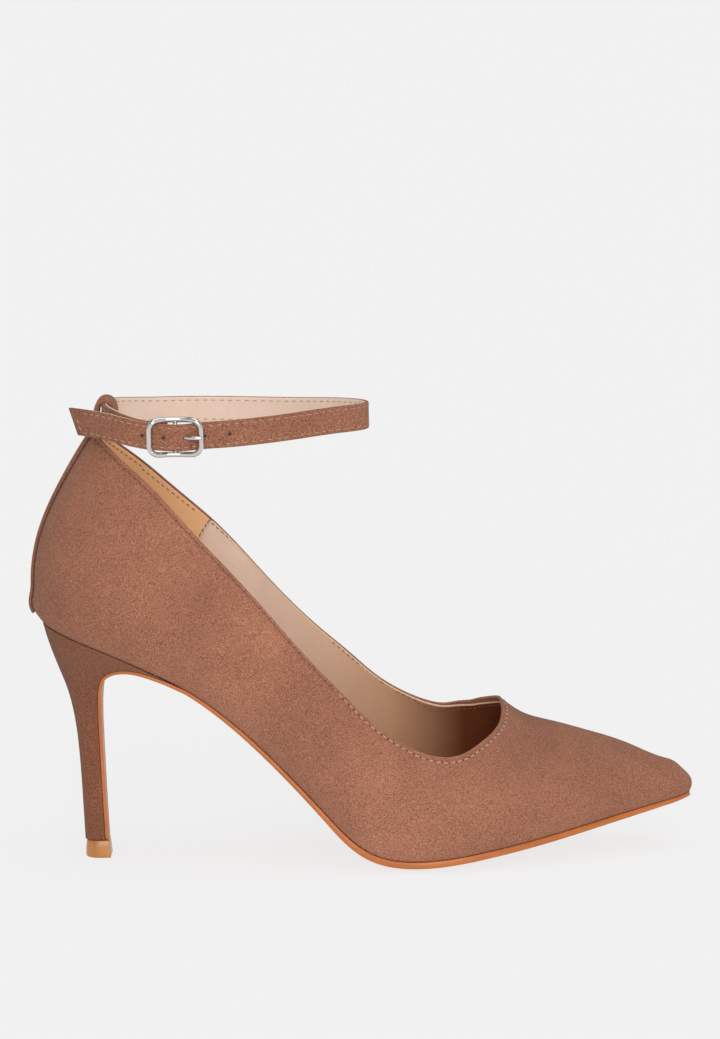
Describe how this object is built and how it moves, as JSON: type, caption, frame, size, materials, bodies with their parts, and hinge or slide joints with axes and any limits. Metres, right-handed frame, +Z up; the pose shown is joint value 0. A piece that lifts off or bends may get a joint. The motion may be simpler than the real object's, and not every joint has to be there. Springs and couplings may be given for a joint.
{
  "type": "ankle strap pump",
  "caption": "Pointed-toe pump on a slim high heel, with a suede upper, a thin sole that runs down the heel's front, and a buckled ankle strap held by a loop at the back.",
  "frame": {"origin": "on the floor under the middle of the shoe's bounding box", "axes": "+X from heel to toe, +Y towards the inner (medial) side of the foot, +Z up"},
  "size_m": [0.2361, 0.08, 0.1664],
  "materials": {
    "upper": "napped suede, matte",
    "outsole": "smooth tan edge, low sheen",
    "heel": "suede cover, matte",
    "top_lift": "smooth, low sheen",
    "insole": "smooth lining",
    "back_strip": "napped suede, matte",
    "ankle_strap": "suede outside, smooth lining inside",
    "buckle_frame": "polished",
    "buckle_prong": "polished"
  },
  "bodies": {
    "root": {"upper": "upper", "outsole": "outsole", "heel": "heel", "top_lift": "top_lift", "insole": "insole", "back_strip": "back_strip", "ankle_strap": "ankle_strap", "buckle_frame": "buckle_frame", "buckle_prong": "buckle_prong"}
  },
  "joints": []
}
